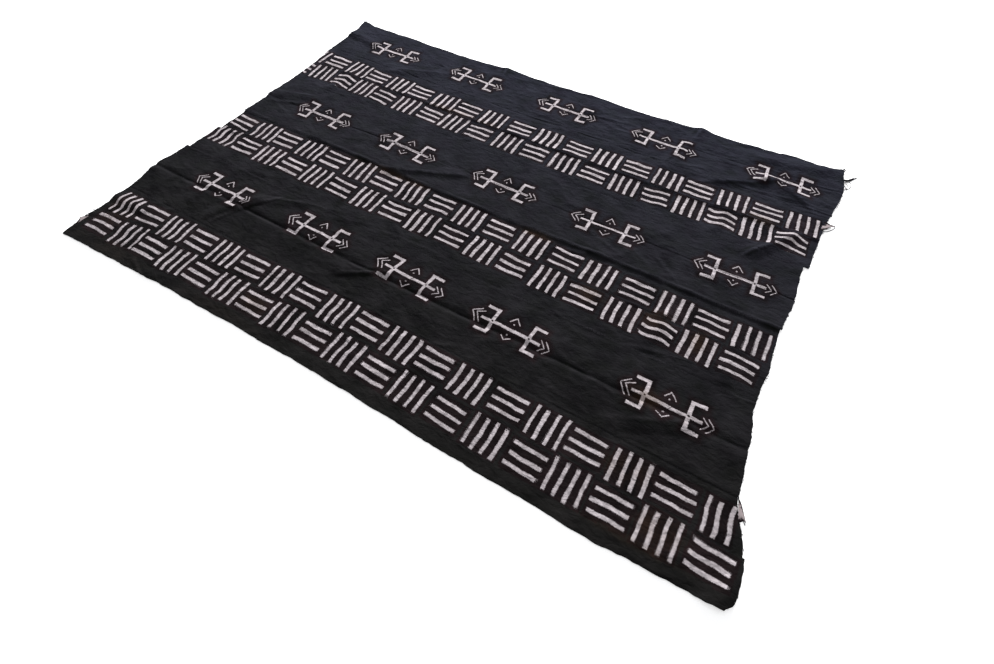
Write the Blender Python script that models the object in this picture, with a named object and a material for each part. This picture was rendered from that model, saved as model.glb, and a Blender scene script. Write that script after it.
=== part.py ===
"""Bogolan mud cloth: twelve hand-woven cotton strips, sewn edge to edge and laid out on a floor.

The strips run along X. Y runs from the near edge to the far edge, and the floor is at Z = 0.
Each strip is one closed sheet. Its underside rests on the floor, and rises where the cloth folds.
"""

import math

import bmesh
import bpy

CLOTH = "bogolan_mud_cloth"

# Sizes in metres; the tables below are in millimetres
MM = 0.001
HALF_LENGTH = 800.0
CLOTH_THICK = 0.0018
SEAM_GAP = 0.0003
CELLS_ALONG = 48
CELLS_ACROSS = 5
# How far the cells' rows crowd towards a strip's two long edges, from 0 to 1
EDGE_CROWDING = 0.5

# Where the seam tables' columns stand, in steps of half a half length
COLUMN_STEP = HALF_LENGTH / 2

# Each line across the cloth that a strip starts or ends at: the far edge, eleven seams, the near edge.
# Y at x = -800, -400, 0, 400 and 800
SEAMS = (
    ("far_edge", (578, 565, 565, 564, 574)),
    ("seam_01", (488, 478, 473, 475, 487)),
    ("seam_02", (392, 387, 382, 382, 389)),
    ("seam_03", (297, 290, 282, 280, 288)),
    ("seam_04", (193, 190, 186, 184, 188)),
    ("seam_05", (88, 87, 84, 82, 81)),
    ("seam_06", (-5, -7, -15, -13, -16)),
    ("seam_07", (-99, -101, -106, -107, -108)),
    ("seam_08", (-201, -204, -209, -210, -210)),
    ("seam_09", (-301, -307, -314, -313, -311)),
    ("seam_10", (-392, -396, -401, -403, -404)),
    ("seam_11", (-484, -485, -487, -493, -495)),
    ("near_edge", (-581, -573, -575, -587, -585.5)),
)

# Where each strip was cut off, from the far edge of the cloth to the near one.
# X of the left end at the strip's far and near side, then of the right end
STRIP_ENDS = (
    ("strip_01", (-798, -786), (788, 801)),
    ("strip_02", (-788, -787), (801, 790)),
    ("strip_03", (-786, -777), (787, 778)),
    ("strip_04", (-777, -777), (779, 774)),
    ("strip_05", (-777, -779), (762, 765)),
    ("strip_06", (-776, -780), (767, 757)),
    ("strip_07", (-778, -778), (754, 757)),
    ("strip_08", (-787, -790), (758, 752)),
    ("strip_09", (-800, -806.5), (752, 764)),
    ("strip_10", (-806, -797), (765, 770)),
    ("strip_11", (-796, -795), (771, 801)),
    ("strip_12", (-796, -799), (804, 806.5)),
)

# Where the far and near edges stick out: edge's row, X, half width and how far out in Y
EDGE_BUMPS = (
    ("far_left_corner", 0, -806, 60, 12),
    ("far_left_slope", 0, -590, 90, 3),
    ("far_hump", 0, -190, 60, 6),
    ("far_middle", 0, 100, 90, 5),
    ("far_crease", 0, 420, 40, 9),
    ("far_right_lift", 0, 668, 60, 8),
    ("far_right_corner", 0, 800, 50, 10),
    ("near_right_swell", 12, 570, 130, -4),
)

# Long folds that run beside a seam, where the cloth was folded for storage.
# seam row, crest's offset from it in Y, height in the five columns, width on the far and near side
LONG_FOLDS = (
    (6, 0, (1.8, 2.2, 2.6, 2.8, 2.8), 56, 9),
    (3, 0, (0.5, 1.2, 2, 2.2, 1.8), 56, 9),
    (9, 14, (3, 3, 3, 3, 2), 60, 14),
    (9, -14, (3, 3, 3, 3, 2), 14, 60),
)

# Short folds and rumples: crest from one point to the other, its height, width on its left and
# right side as seen along that way, and how far it fades out at each end
SHORT_FOLDS = (
    ("last_figure_slope", (510, 376), (618, 440), 5, 40, 28, 38),
    ("last_figure_hump", (618, 440), (715, 412), 5, 34, 34, 40),
    ("far_right_lift", (590, 520), (775, 556), 5, 34, 30, 60),
    ("cross_crease_far", (416, 590), (370, 392), 3, 30, 26, 60),
    ("far_edge_hump", (-219, 600), (-219, 520), 4, 34, 34, 40),
    ("far_left_slope", (-520, 378), (-408, 428), 4, 32, 24, 40),
    ("far_left_dent", (-800, 500), (-668, 474), 5, 32, 24, 45),
    ("left_end_slope", (-790, 92), (-640, 140), 4, 32, 24, 45),
    ("middle_branch", (-245, -6), (-88, 62), 5, 34, 20, 45),
    ("third_row_long", (-536, -360), (-470, -270), 4, 26, 20, 35),
    ("third_row_bend", (-470, -270), (-365, -226), 4, 26, 20, 40),
    ("third_row_left", (-790, -302), (-690, -392), 4, 28, 28, 40),
    ("third_row_middle", (-142, -346), (-50, -300), 4, 28, 20, 35),
    ("third_row_right", (520, -386), (646, -322), 4, 34, 26, 45),
    ("first_band_right", (652, 178), (722, 270), 8, 28, 28, 35),
    ("first_band_inner", (552, 212), (556, 290), 4, 26, 26, 30),
    ("first_band_left", (-638, 210), (-634, 296), 4, 28, 28, 32),
    ("second_band_right", (530, -104), (526, -176), 4, 26, 26, 32),
    ("second_band_end", (690, -112), (684, -186), 4, 26, 26, 32),
    ("third_band_left", (-830, -436), (-690, -432), 5, 26, 24, 40),
    ("near_corner_curl", (770, -610), (826, -490), 10, 34, 38, 60),
)

DYED_COTTON = (0.012, 0.012, 0.016, 1.0)
DYED_ROUGHNESS = 0.92


def clear_scene():
    """Removes every object that the file opened with."""
    for old in list(bpy.data.objects):
        bpy.data.objects.remove(old, do_unlink=True)


def smooth(t):
    """Eases from 0 to 1, level at both ends."""
    t = min(max(t, 0.0), 1.0)
    return t * t * (3.0 - 2.0 * t)


def along_columns(values, x):
    """Reads a five-column row at x in millimetres, on one smooth curve."""
    place = (x + HALF_LENGTH) / COLUMN_STEP
    last = len(values) - 1
    cell = int(min(max(math.floor(place), 0), last - 1))
    t = place - cell
    start, end = values[cell], values[cell + 1]
    slope_start = (end - values[max(cell - 1, 0)]) / 2
    slope_end = (values[min(cell + 2, last)] - start) / 2
    return (
        start * (2 * t**3 - 3 * t**2 + 1)
        + slope_start * (t**3 - 2 * t**2 + t)
        + end * (3 * t**2 - 2 * t**3)
        + slope_end * (t**3 - t**2)
    )


def crest(offset, left_width, right_width):
    """A fold's cross section: 1 at its crest, and level with the floor at each width."""
    width = left_width if offset > 0 else right_width
    return 1.0 - smooth(abs(offset) / width)


def long_fold_height(x, y, fold):
    row, shift, heights, far_width, near_width = fold
    offset = y - along_columns(SEAMS[row][1], x) - shift
    return along_columns(heights, x) * crest(offset, far_width, near_width)


def short_fold_height(x, y, fold):
    _, start, end, height, left_width, right_width, fade = fold
    way_x, way_y = end[0] - start[0], end[1] - start[1]
    length = math.hypot(way_x, way_y)
    way_x, way_y = way_x / length, way_y / length
    from_x, from_y = x - start[0], y - start[1]
    run = from_x * way_x + from_y * way_y
    offset = from_y * way_x - from_x * way_y
    past_end = max(-run, run - length, 0.0)
    return height * crest(offset, left_width, right_width) * (1.0 - smooth(past_end / fade))


def fold_height(x, y):
    """How far the cloth's underside is off the floor at a point, all in millimetres."""
    height = sum(long_fold_height(x, y, fold) for fold in LONG_FOLDS)
    return height + sum(short_fold_height(x, y, fold) for fold in SHORT_FOLDS)


def line_y(row, x):
    """Y of a seam or of an outer edge at x, all in millimetres."""
    y = along_columns(SEAMS[row][1], x)
    for _, edge, middle, half_width, out in EDGE_BUMPS:
        if edge == row:
            y += out * (1.0 - smooth(abs(x - middle) / half_width))
    return y


def strip_point(number, along, across):
    """A point of a strip's underside, in metres. along runs 0 to 1 with X, across from far to near."""
    across -= EDGE_CROWDING * math.sin(math.tau * across) / math.tau
    _, left, right = STRIP_ENDS[number]
    left_x = left[0] + (left[1] - left[0]) * smooth(across)
    right_x = right[0] + (right[1] - right[0]) * smooth(across)
    x = left_x + (right_x - left_x) * along
    gap = SEAM_GAP / MM / 2
    far_y = line_y(number, x) - gap
    near_y = line_y(number + 1, x) + gap
    y = far_y + (near_y - far_y) * across
    return x * MM, y * MM, fold_height(x, y) * MM


def cotton():
    """Cotton dyed almost black with fermented mud."""
    material = bpy.data.materials.new("mud_dyed_cotton")
    material.use_nodes = True
    shader = material.node_tree.nodes["Principled BSDF"]
    shader.inputs["Base Color"].default_value = DYED_COTTON
    shader.inputs["Roughness"].default_value = DYED_ROUGHNESS
    shader.inputs["Metallic"].default_value = 0.0
    return material


def woven_strip(number, material, collection):
    """One strip: a flat grid given its thickness, then bent over the folds that it lies in."""
    name = STRIP_ENDS[number][0]
    sheet = bmesh.new()
    bmesh.ops.create_grid(sheet, x_segments=CELLS_ALONG, y_segments=CELLS_ACROSS, size=0.5)
    raised = bmesh.ops.extrude_face_region(sheet, geom=sheet.faces[:])
    top = [item for item in raised["geom"] if isinstance(item, bmesh.types.BMVert)]
    bmesh.ops.translate(sheet, verts=top, vec=(0, 0, CLOTH_THICK))
    for point in sheet.verts:
        x, y, z = strip_point(number, point.co.x + 0.5, 0.5 - point.co.y)
        point.co = (x, y, z + point.co.z)
    bmesh.ops.recalc_face_normals(sheet, faces=sheet.faces[:])
    mesh = bpy.data.meshes.new(name)
    sheet.to_mesh(mesh)
    sheet.free()
    mesh.materials.append(material)
    strip = bpy.data.objects.new(name, mesh)
    collection.objects.link(strip)
    return strip


def build():
    clear_scene()
    collection = bpy.data.collections.new(CLOTH)
    bpy.context.scene.collection.children.link(collection)
    material = cotton()
    for number in range(len(STRIP_ENDS)):
        woven_strip(number, material, collection)


build()
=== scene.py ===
import functools
import math

import bmesh
import bpy
import numpy as np
from mathutils import Matrix, Vector


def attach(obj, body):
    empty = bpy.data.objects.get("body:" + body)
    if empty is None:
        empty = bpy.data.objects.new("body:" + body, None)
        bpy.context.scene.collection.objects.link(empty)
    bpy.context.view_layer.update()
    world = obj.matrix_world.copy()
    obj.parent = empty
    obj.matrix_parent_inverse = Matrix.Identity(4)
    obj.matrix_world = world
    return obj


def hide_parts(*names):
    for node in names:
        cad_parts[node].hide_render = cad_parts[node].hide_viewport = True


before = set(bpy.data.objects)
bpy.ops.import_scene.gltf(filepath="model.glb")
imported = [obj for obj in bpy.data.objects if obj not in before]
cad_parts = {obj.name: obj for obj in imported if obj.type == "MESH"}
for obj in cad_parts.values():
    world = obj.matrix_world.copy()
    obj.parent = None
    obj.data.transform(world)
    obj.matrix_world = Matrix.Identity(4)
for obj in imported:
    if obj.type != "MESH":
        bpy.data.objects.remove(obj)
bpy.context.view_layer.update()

# Units: the tables are in millimetres, with X along the strips and Y from the near to the far edge
MM = 0.001
HALF_LENGTH = 800.0
CLOTH_THICK = 1.8
# Sewn shut, so narrower than between the solids
SEAM_GAP = 0.04
COLUMN_STEP = HALF_LENGTH / 2

# Cells of a strip's mesh. Each bake row holds a quarter of the cells along
CELLS_ALONG = 480
CELLS_ACROSS = 28
BAKE_ROWS = 4
# Shares of the map's square: its side margins, then where the rows of the top and of the underside
# start, their pitch and their height, and the slivers' reach in U and V
MAP_SIDE = 0.014
TOP_ROWS = (0.245, 0.19, 0.18)
LOW_ROWS = (0.004, 0.059, 0.05)
SLIVERS = (0.01, 0.004)
# How far the cells' rows crowd towards a strip's two long edges, from 0 to 1
EDGE_CROWDING = 0.5
# How much thinner a strip is at its long edges, and how far in that starts
EDGE_DROP = 0.5
EDGE_WIDTH = 3.5
# How far the near right corner is rounded off in X, and where across its strip that starts
CORNER_CUT = 13
CORNER_START = 0.72
# The cut ends are ragged over this share of a strip's length
RAGGED_SHARE = 1 / 60
FLAP_THICK = 1.2
FLAP_CELLS = (10, 8)
# How much a flap narrows towards its tip
FLAP_NARROWING = 0.93
# Edges of a mesh that are sharper than this are shaded sharp, in degrees
SHARP_ANGLE = 50

# Y of the far edge, the eleven seams and the near edge, at x = -800, -400, 0, 400 and 800
SEAMS = (
    ("far_edge", (578, 565, 565, 564, 574)),
    ("seam_01", (488, 478, 473, 475, 487)),
    ("seam_02", (392, 387, 382, 382, 389)),
    ("seam_03", (297, 290, 282, 280, 288)),
    ("seam_04", (193, 190, 186, 184, 188)),
    ("seam_05", (88, 87, 84, 82, 81)),
    ("seam_06", (-5, -7, -15, -13, -16)),
    ("seam_07", (-99, -101, -106, -107, -108)),
    ("seam_08", (-201, -204, -209, -210, -210)),
    ("seam_09", (-301, -307, -314, -313, -311)),
    ("seam_10", (-392, -396, -401, -403, -404)),
    ("seam_11", (-484, -485, -487, -493, -495)),
    ("near_edge", (-581, -573, -575, -587, -585.5)),
)

# X of each strip's left end at its far and near side, then of its right end
STRIP_ENDS = (
    ("strip_01", (-798, -786), (788, 801)),
    ("strip_02", (-788, -787), (801, 790)),
    ("strip_03", (-786, -777), (787, 778)),
    ("strip_04", (-777, -777), (779, 774)),
    ("strip_05", (-777, -779), (762, 765)),
    ("strip_06", (-776, -780), (767, 757)),
    ("strip_07", (-778, -778), (754, 757)),
    ("strip_08", (-787, -790), (758, 752)),
    ("strip_09", (-800, -806.5), (752, 764)),
    ("strip_10", (-806, -797), (765, 770)),
    ("strip_11", (-796, -795), (771, 801)),
    ("strip_12", (-796, -799), (804, 806.5)),
)

# Where the far and near edges stick out: edge's row, X, half width and how far out in Y
EDGE_BUMPS = (
    (0, -806, 60, 12),
    (0, -590, 90, 3),
    (0, -190, 60, 6),
    (0, 100, 90, 5),
    (0, 420, 40, 9),
    (0, 668, 60, 8),
    (0, 800, 50, 10),
    (12, 570, 130, -4),
)

# Long folds beside a seam: seam row, crest's offset in Y, height in the five columns,
# width on the far side and on the near side
LONG_FOLDS = (
    (6, 0, (1.8, 2.2, 2.6, 2.8, 2.8), 56, 9),
    (3, 0, (0.5, 1.2, 2, 2.2, 1.8), 56, 9),
    (9, 14, (3, 3, 3, 3, 2), 60, 14),
    (9, -14, (3, 3, 3, 3, 2), 14, 60),
)

# Short folds: crest from one point to the other, height, width to its left and right, fade past its ends
SHORT_FOLDS = (
    # First row of figures
    ((510, 376), (618, 440), 5, 40, 28, 38),
    ((618, 440), (715, 412), 5, 34, 34, 40),
    ((590, 520), (775, 556), 5, 34, 30, 60),
    ((416, 590), (370, 392), 3, 30, 26, 60),
    ((-219, 600), (-219, 520), 4, 34, 34, 40),
    ((-520, 378), (-408, 428), 4, 32, 24, 40),
    ((-800, 500), (-668, 474), 5, 32, 24, 45),
    # Second row
    ((-790, 92), (-640, 140), 4, 32, 24, 45),
    ((-245, -6), (-88, 62), 5, 34, 20, 45),
    # Third row
    ((-536, -360), (-470, -270), 4, 26, 20, 35),
    ((-470, -270), (-365, -226), 4, 26, 20, 40),
    ((-790, -302), (-690, -392), 4, 28, 28, 40),
    ((-142, -346), (-50, -300), 4, 28, 20, 35),
    ((520, -386), (646, -322), 4, 34, 26, 45),
    # Bands of bars and the near right corner
    ((652, 178), (722, 270), 8, 28, 28, 35),
    ((552, 212), (556, 290), 4, 26, 26, 30),
    ((-638, 210), (-634, 296), 4, 28, 28, 32),
    ((530, -104), (526, -176), 4, 26, 26, 32),
    ((690, -112), (684, -186), 4, 26, 26, 32),
    ((-830, -436), (-690, -432), 5, 26, 24, 40),
    ((770, -610), (826, -490), 10, 34, 38, 60),
)

# Sharp creases on top of the folds, in the same columns. A negative height is a trough
CREASES = (
    # First row of figures
    ((-795, 498), (-715, 500), 1.1, 12, 16, 30),
    ((-795, 474), (-745, 468), -0.7, 10, 10, 22),
    ((-515, 396), (-408, 434), 1.5, 16, 9, 33),
    ((-700, 352), (-640, 372), 0.8, 12, 8, 30),
    ((-130, 470), (-40, 478), 0.8, 12, 7, 38),
    ((-148, 424), (-84, 418), 1.0, 12, 7, 30),
    ((-60, 408), (40, 402), 0.8, 12, 7, 30),
    ((90, 520), (190, 506), 0.8, 14, 8, 38),
    ((-222, 580), (-214, 540), 1.1, 10, 10, 24),
    ((200, 452), (330, 440), 0.9, 12, 7, 38),
    ((395, 452), (560, 470), 1.2, 13, 7, 45),
    ((400, 486), (540, 500), 1.0, 13, 8, 45),
    ((420, 520), (600, 530), 0.9, 14, 8, 45),
    ((410, 575), (398, 500), 1.2, 12, 10, 30),
    ((382, 430), (372, 398), -1.1, 9, 9, 27),
    ((455, 345), (650, 452), 2.2, 26, 10, 39),
    ((650, 452), (735, 396), 1.6, 16, 12, 39),
    ((700, 440), (780, 424), 1.1, 12, 8, 30),
    ((560, 388), (640, 402), 0.8, 12, 8, 30),
    # First band, then the second row of figures
    ((640, 168), (735, 286), 1.2, 12, 9, 30),
    ((-650, 214), (-618, 232), 1.0, 10, 8, 24),
    ((-795, 110), (-660, 146), 1.4, 12, 9, 33),
    ((-700, 60), (-640, 40), 0.8, 12, 9, 30),
    ((-200, 88), (-60, 92), -0.8, 8, 8, 38),
    ((-240, -2), (-80, 64), 1.5, 16, 8, 33),
    # Above the middle seam, on the right
    ((290, 52), (372, 22), 1.1, 14, 9, 27),
    ((380, 60), (452, 18), 1.1, 12, 10, 27),
    ((470, 44), (520, 8), 1.0, 12, 10, 27),
    ((560, 30), (650, 8), 0.8, 12, 9, 27),
    # Under the second band
    ((-640, -196), (-560, -204), 0.8, 10, 8, 30),
    ((-120, -196), (10, -192), 0.8, 10, 8, 38),
    ((500, -206), (590, -184), 1.2, 12, 9, 30),
    # Third row of figures
    ((-735, -262), (-665, -276), 1.0, 12, 10, 22),
    ((-520, -372), (-482, -300), 0.8, 12, 9, 27),
    ((-482, -300), (-432, -238), 1.0, 12, 9, 27),
    ((-432, -238), (-345, -214), 1.4, 12, 9, 38),
    ((-690, -330), (-610, -352), 1.0, 14, 12, 33),
    ((-135, -348), (-52, -302), 1.9, 10, 9, 24),
    ((-160, -318), (-100, -330), -1.0, 9, 9, 24),
    ((60, -356), (160, -350), 0.8, 10, 8, 38),
    ((400, -300), (490, -320), 1.0, 11, 8, 30),
    ((520, -372), (640, -318), 1.2, 14, 9, 33),
    ((380, -370), (470, -382), 0.8, 10, 8, 38),
    # Near margin
    ((-570, -556), (-530, -574), 1.0, 9, 8, 18),
    ((300, -556), (380, -560), 0.7, 9, 7, 27),
)

# Sharp lines along a seam: seam row, offset in Y, height in the five columns, width on each side
SEAM_CREASES = (
    (6, 3, (0.8, 1.2, 1.5, 1.6, 1.5), 10, 7),
    (3, 3, (0.3, 1.3, 1.6, 1.5, 1.1), 8, 6),
    (5, 0, (-0.4, -0.8, -0.7, -1.0, -0.8), 4, 4),
    (9, 2, (-0.7, -0.9, -0.9, -0.8, -0.2), 6, 6),
    (9, -5, (0.4, 0.5, 0.7, 0.6, 0.2), 6, 10),
    (8, -1, (0.2, 0.3, 0.2, 0.5, 0.3), 6, 5),
    (10, 0, (-0.3, -0.2, -0.3, -0.4, -0.3), 4, 4),
    (2, 0, (-0.3, -0.4, -0.5, -0.4, -0.3), 4, 4),
    (1, 0, (-0.3, -0.3, -0.3, -0.4, -0.3), 4, 4),
)

# Where rusty mud stayed in the weave: X, Y, half length, half width and strength
STAINS = (
    # Along the seam in the first band
    (-265, 292, 130, 16, 0.5),
    (-130, 290, 70, 14, 0.4),
    (640, 290, 40, 18, 0.8),
    # Along the middle seam
    (-250, -20, 170, 16, 0.6),
    (190, -24, 70, 14, 0.5),
    # Second band and the last figure under it
    (375, -128, 50, 30, 0.5),
    (617, -128, 26, 40, 0.65),
    (520, -120, 40, 34, 0.5),
    (560, -302, 44, 30, 0.7),
    # Third band and the near margin
    (-250, -512, 44, 26, 0.5),
    (585, -450, 60, 34, 0.5),
    (670, -520, 60, 40, 0.4),
    (640, -560, 120, 12, 0.4),
    (-740, -470, 60, 60, 0.3),
    (-650, -560, 150, 26, 0.15),
    (-300, -562, 160, 20, 0.12),
)

# Painted bars. Each block has four upright or three level bars, and the kinds take turns along a row
BAR_PITCH = 20.8
BAR_HALF_WIDTH = 3.5
BAR_HALF_LENGTH = 32.6
LEVEL_HALF_LENGTH = 34.6
# How the material knows a mark's kind. 0 is bare cloth
KIND_NUMBERS = {"upright": 1, "level": 1, "figure": 2, "split_figure": 3}
# How far the brush shakes, in millimetres along both ways of a mark. It is the whole range
HAND_SHAKE = (6.0, 6.0, 0.0)
# How far one bar strays: its place, lean (a share), half width, shift along and half length.
# Each is the whole range, so half of it either way
BAR_STRAY = {"place": 2.0, "lean": 0.05, "width": 1.0, "shift": 4.0, "length": 3.0}
# A wavy bar's path turns through a whole wave in 2 pi times this
WAVE_RUN = 9.5
# The slope of a row at a block is read this far to both sides of it
SLOPE_STEP = 20.0
# How far a block usually strays in turn (degrees), arch and wave
HAND_SPREAD = {"upright": (0.9, 0.6, 0.45), "level": (0.8, 0.6, 0.15)}
# How much more that is at the left end than in the middle, and less at the right end
LOOSER_LEFT = 0.7
BLOCK_REACH = {"upright": (40.0, 37.5), "level": (41.0, 33.0)}

# Row, kind of its first block, how much further out in Y its level blocks stand,
# Y of the row at the five columns, X of each block
BAR_ROWS = (
    ("first_far", "upright", 0, (335, 324, 316, 318, 326),
     (-793, -708, -623, -546, -461, -384, -294, -215, -127, -36, 51, 141, 226, 311, 396, 479, 565, 649, 734)),
    ("first_near", "level", -2, (265, 251, 243, 244, 254),
     (-794, -713, -628, -549, -472, -386, -300, -219, -135, -42, 44, 133, 219, 304, 389, 474, 557, 640, 721)),
    ("second_far", "level", 2, (-51, -50, -55, -67, -74),
     (-739, -652, -575, -488, -408, -322, -237, -153, -67, 18, 104, 191, 279, 367, 458, 544, 625, 710)),
    ("second_near", "upright", -2, (-120, -125, -129, -141, -145),
     (-739, -655, -572, -489, -408, -324, -238, -153, -71, 13, 100, 185, 274, 359, 449, 533, 617, 701)),
    ("third_far", "upright", 3, (-441, -437, -436, -449, -454),
     (-740, -657, -572, -490, -408, -327, -243, -164, -79, 5, 89, 171, 256, 343, 427, 507, 592, 673, 760)),
    ("third_near", "level", -2, (-511, -508, -509, -523, -526),
     (-738, -653, -575, -494, -413, -331, -250, -168, -84, -4, 80, 164, 249, 336, 422, 502, 585, 669, 757)),
)

# Blocks that stand out from their row, by number: turn in degrees, arch and wave across the bars
ODD_BLOCKS = {
    "first_far": {
        0: (0, 0, 0), 2: (0, 0, 1.0), 17: (-1, -1.5, 0),
    },
    "first_near": {
        0: (-5, 2.5, 0), 1: (6, 1.5, 0), 2: (-2, 4.5, 0), 3: (2, 0, 1.5), 4: (-5, 2.0, 0),
        6: (-3, 0, 0.8), 10: (0, 1.5, 0), 14: (5, 0, 1.2), 16: (0, 1.0, 3.2), 17: (1, 0, 0.9),
        18: (-1, 6.5, 0),
    },
    "second_far": {
        0: (-4, 0, 0), 1: (3, 0, 1.0), 5: (4, 0, 0), 7: (4, 0, 1.0),
    },
    "second_near": {
        0: (0, -3.0, 2.5), 2: (3, 0, 1.0), 13: (3, 0, 0), 15: (-2, 1.0, 3.0), 16: (-3, 0, 0),
        17: (-3, 1.2, 1.4),
    },
    "third_far": {
        0: (2, 2.0, 1.8), 2: (3, 0, 1.2), 4: (2, -1.5, 0), 18: (2, 0, 0.9),
    },
    "third_near": {
        1: (7, 0, 1.2), 3: (3, 2.0, 0), 5: (2, 0, 0.8), 18: (-4, 0, 0.8),
    },
}
# Where the painted part of a block starts and ends along X from its centre, if it isn't a whole one
CUT_BLOCKS = {("first_far", 0): (0, 42), ("second_near", 0): (-60, 40), ("third_far", 18): (-40, 21)}

# Painted figures: X and Y of the centre, turn in degrees, and 1 if a slanted cut splits its body
FIGURES = (
    # First row
    (-586, 471, 0.2, 0),
    (-275, 469, -2.0, 0),
    (37, 463, -1.2, 1),
    (335, 456, -1.4, 0),
    (657, 462, 0.6, 1),
    # Second row
    (-563, 90, 0.5, 0),
    (-268, 88, -2.0, 0),
    (37, 86, -1.5, 0),
    (326, 80, 1.4, 0),
    (634, 82, 1.0, 0),
    # Third row
    (-574, -283, -1.2, 0),
    (-269, -278, -1.6, 1),
    (2, -284, -2.7, 1),
    (266, -297, -1.4, 0),
    (605, -300, -0.7, 1),
)
FIGURE_REACH = (104.0, 48.0)

# That slanted cut: the way across it, its distance from the centre and its half width
SPLIT_WAY = (0.86, -0.5, 0)
SPLIT_PLACE = 6.0
SPLIT_HALF_WIDTH = 0.8
# A distance that counts as far from any paint
FAR_FROM_PAINT = 50.0

# The bare spot where the body meets a spine
KNOT_PLACE = (44, 1)
KNOT_RADIUS = 2.2

# A figure's broad parts, the same to the left and right: centre, half width and half height
FIGURE_BLOCKS = (
    # Body and spine
    ((0, 0), (44, 3.4)),
    ((44, 1.5), (3.7, 35)),
    # Top, middle and low arm
    ((57.5, 33), (13.5, 3.5)),
    ((57, 0), (13, 3.2)),
    ((57.5, -30), (13.5, 3.5)),
)
# Its thin strokes: from, to and half width
FIGURE_STROKES = (
    # Arrowheads at the left
    ((-78, 19), (-94, 4), 1.0),
    ((-94, 4), (-79, -15.5), 1.0),
    ((-69, 16), (-84, 5), 1.0),
    ((-84, 5), (-70, -13.5), 1.0),
    # Arrowheads at the right
    ((69, 11), (81, -1.5), 1.0),
    ((81, -1.5), (70, -13), 0.8),
    ((79, 13), (93, -2), 1.0),
    ((93, -2), (81, -14.5), 0.8),
    # Small roof and its dot above the body
    ((-10, 19), (0, 33), 1.0),
    ((0, 33), (12.5, 19), 1.0),
    ((0, 15.5), (0.4, 15.5), 1.6),
    # Small hollow and its dot below the body
    ((-12.5, -19), (0, -28), 1.0),
    ((0, -28), (10.5, -17), 1.0),
    ((-1, -13), (-0.6, -13), 1.6),
)

# Hand whip stitches that join the strips, in millimetres
STITCH_STEP = 8.5
STITCH_REACH = 2.3
STITCH_SLANT = 1.5
STITCH_RADIUS = 0.42
STITCH_RISE = 1.1
STITCH_SINK = 0.55
# How far from a strip's ends the stitches stop
STITCH_MARGIN = 5

# Long loose threads at the ends: points on the floor from root to tip, radius and whether it is pale
LOOSE_THREADS = (
    # Far right corner
    (((788, 538), (805, 550), (823, 574)), 1.7, False),
    (((788, 543), (802, 552), (816, 569)), 1.3, False),
    (((790, 532), (806, 546), (818, 566)), 1.2, False),
    (((790, 538), (812, 543), (814, 524), (800, 508)), 0.8, False),
    (((792, 530), (803, 534), (809, 524), (798, 512)), 0.6, True),
    (((792, 524), (802, 524), (809, 512)), 0.7, False),
    (((784, 567), (796, 573), (806, 576)), 0.5, True),
    (((784, 563), (797, 567), (804, 573)), 0.4, True),
    (((778, 578), (786, 588), (791, 598)), 1.6, False),
    (((780, 572), (788, 580), (793, 592)), 1.3, False),
    # Right end of the first band
    (((775, 360), (788, 360), (805, 362)), 1.1, False),
    (((774, 327), (788, 331), (800, 346), (805, 358)), 0.9, False),
    (((774, 333), (787, 340), (797, 352)), 0.6, False),
    # Right end of the third band
    (((768, -396), (774, -410), (785, -430), (793, -441)), 0.9, False),
    (((776, -446), (785, -455), (794, -468), (793, -476)), 0.8, False),
    (((780, -456), (790, -464), (795, -478)), 0.5, True),
    (((784, -464), (794, -474), (797, -484)), 0.6, False),
    # Near right corner
    (((796, -548), (806, -552), (808, -562), (800, -566)), 0.6, True),
    (((792, -556), (803, -560), (806, -569), (797, -574)), 0.6, False),
    (((798, -542), (808, -546), (811, -555)), 0.5, False),
    (((788, -552), (799, -556), (800, -567), (790, -570)), 0.5, True),
    # Left end, and the far left corner
    (((-794, -496), (-801, -493), (-810, -490)), 0.6, False),
    (((-794, -506), (-803, -505), (-806, -512)), 0.4, True),
    (((-796, -500), (-805, -516), (-800, -540)), 0.9, False),
    (((-778, 10), (-790, 14), (-803, 8)), 0.5, False),
    (((-778, 2), (-788, -4), (-792, -14)), 0.5, False),
    (((-798, 582), (-805, 588), (-808, 596)), 0.7, False),
    (((-796, 584), (-800, 592), (-797, 598)), 0.5, False),
)
FRAYS_PER_END = 9
# How far above a strip's underside a thread leaves the cut end, and how far in a fray is rooted
THREAD_ROOT = 0.9
FRAY_DEPTH = 2
# How many of the frays are pale
PALE_SHARE = 0.18
# Shortest and longest fray at the left end and at the right end
FRAY_REACH = {-1: (0.8, 2.6), 1: (1.5, 4.5)}

# Bits of the painted ends that stick out: root from one point to the other, tip and rise of the tip
END_FLAPS = (
    ("right_band_flap", (777, 360), (775, 327), (803, 358), 1.5),
    ("right_near_flap", (771, -404), (780, -442), (792, -439), 2.0),
    ("left_near_flap", (-790, -508), (-793, -546), (-804, -527), 1.0),
)

# Rumples of the cloth: length and width of a bump, seed, turn in degrees, sharpness and height
RUMPLES = (
    (74, 34, 4, 14, 3, 2.8),
    (52, 30, 5, -24, 3, 2.4),
    (26, 13, 6, 6, 2, 1.1),
)
STREAK_HEIGHT = 1.9
# The random fields reach this far from the middle
FIELD_REACH = 1600.0
# Painted highlight on crests and painted shade in troughs are read from the cloth this far away in X and Y,
# and a crest this much higher is fully lit
CREST_SHADE_REACH = (7, 5)
FULL_CREST_LIGHT = 0.6

# Such cotton has a thread about every millimetre. It is drawn at 1.6, coarser, so that it shows
WEAVE_PITCH = 1.6
# The weft is beaten a little closer than the warp
WEFT_CLOSENESS = 1.15
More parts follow.
